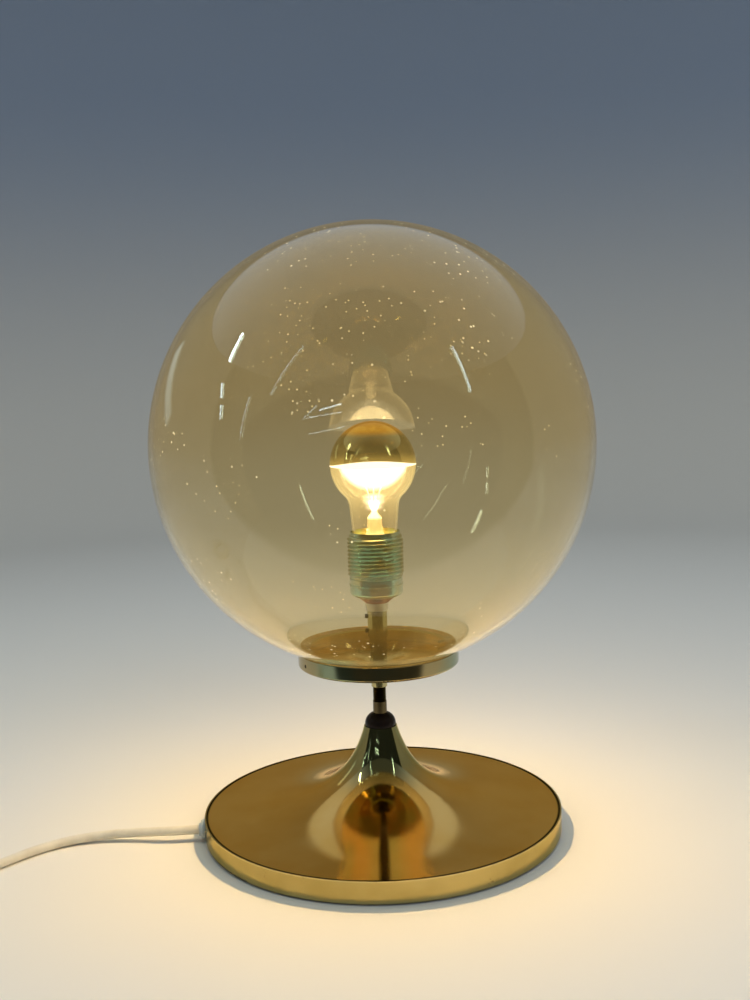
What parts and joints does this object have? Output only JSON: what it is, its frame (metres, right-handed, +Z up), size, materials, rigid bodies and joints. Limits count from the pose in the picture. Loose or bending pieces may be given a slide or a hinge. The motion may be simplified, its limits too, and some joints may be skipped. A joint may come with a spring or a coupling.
{
  "type": "globe table lamp",
  "caption": "Table lamp with a clear amber glass globe on a brass gallery, thin stem and flared weighted base, holding a crown-mirror bulb, with corded switch and plug.",
  "frame": {"origin": "centre of the base's underside, on the table top", "axes": "+Z up along the stem; -Y is the front that the picture shows; the cord leaves the base towards -X"},
  "size_m": [0.6174, 0.3, 0.4189],
  "materials": {
    "brass_base": "polished spun brass",
    "brass_rim": "brushed brass",
    "brass_small": "polished brass",
    "brass_thread": "darkened threaded brass",
    "cast_iron": "raw cast iron",
    "steel": "zinc plated steel",
    "felt": "green felt",
    "cap_plastic": "dark moulded phenolic",
    "screw_black": "blackened steel",
    "zinc_ring": "dull zinc",
    "zinc_yellow": "yellow passivated zinc plate",
    "ceramic": "glazed ceramic",
    "amber_glass": "smoked amber blown glass",
    "bulb_glass": "clear bulb glass",
    "gold_mirror": "gold mirror coat",
    "bulb_metal": "rolled bulb cap",
    "black_glass": "black cap glass",
    "wire": "drawn wire",
    "filament": "tungsten coil",
    "cord_pvc": "off-white flexible PVC",
    "gland_grey": "pale grey moulded plastic",
    "white_plastic": "off-white moulded plastic",
    "nickel": "nickel plated brass"
  },
  "bodies": {
    "lamp": {"base_plate": "brass_base", "base_rim": "brass_rim", "base_weight": "cast_iron", "base_cover": "steel", "base_felt": "felt", "stem_nuts": "steel", "stem_washers": "steel", "stem_tube": "brass_small", "neck_cap": "cap_plastic", "gallery_collar": "brass_small", "gallery": "brass_rim", "gallery_screw_1": "screw_black", "gallery_screw_2": "screw_black", "stem_column": "brass_small", "holder_sleeve": "brass_small", "sleeve_screws": "screw_black", "holder_ring": "zinc_ring", "lampholder_cap": "zinc_yellow", "holder_nut": "steel", "lampholder_core": "ceramic", "lampholder_terminals": "brass_small", "lampholder_skirt": "zinc_yellow", "lampholder_shell": "bulb_metal", "lampholder_contact": "brass_small", "inner_lead": "cord_pvc", "cord_gland": "gland_grey", "cord_lead": "cord_pvc", "cord_link": "cord_pvc", "cord_coil": "cord_pvc", "cord_tail": "cord_pvc", "cord_tie": "gland_grey", "switch_bottom": "white_plastic", "switch_top": "white_plastic", "switch_screws": "steel", "switch_pin": "steel", "plug_body": "white_plastic", "plug_pins": "nickel"},
    "bulb": {"bulb_glass": "bulb_glass", "bulb_mirror": "gold_mirror", "bulb_cap": "bulb_metal", "bulb_insulator": "black_glass", "bulb_tip": "bulb_metal", "bulb_mount": "bulb_glass", "bulb_wires": "wire", "bulb_filament": "filament"},
    "globe": {"glass_globe": "amber_glass"},
    "rocker": {"switch_rocker": "white_plastic"}
  },
  "joints": [
    {"name": "globe_lift", "type": "slide", "parent": "lamp", "child": "globe", "axis": [0, 0, 1], "range_m": [0, 0.18]},
    {"name": "bulb_unscrew", "type": "slide", "parent": "lamp", "child": "bulb", "axis": [0, 0, 1], "range_m": [0, 0.028]},
    {"name": "switch_rock", "type": "hinge", "parent": "lamp", "child": "rocker", "pos_m": [-0.35, -0.082, 0.0126], "axis": [0, 1, 0], "range_deg": [-16, 0]}
  ]
}
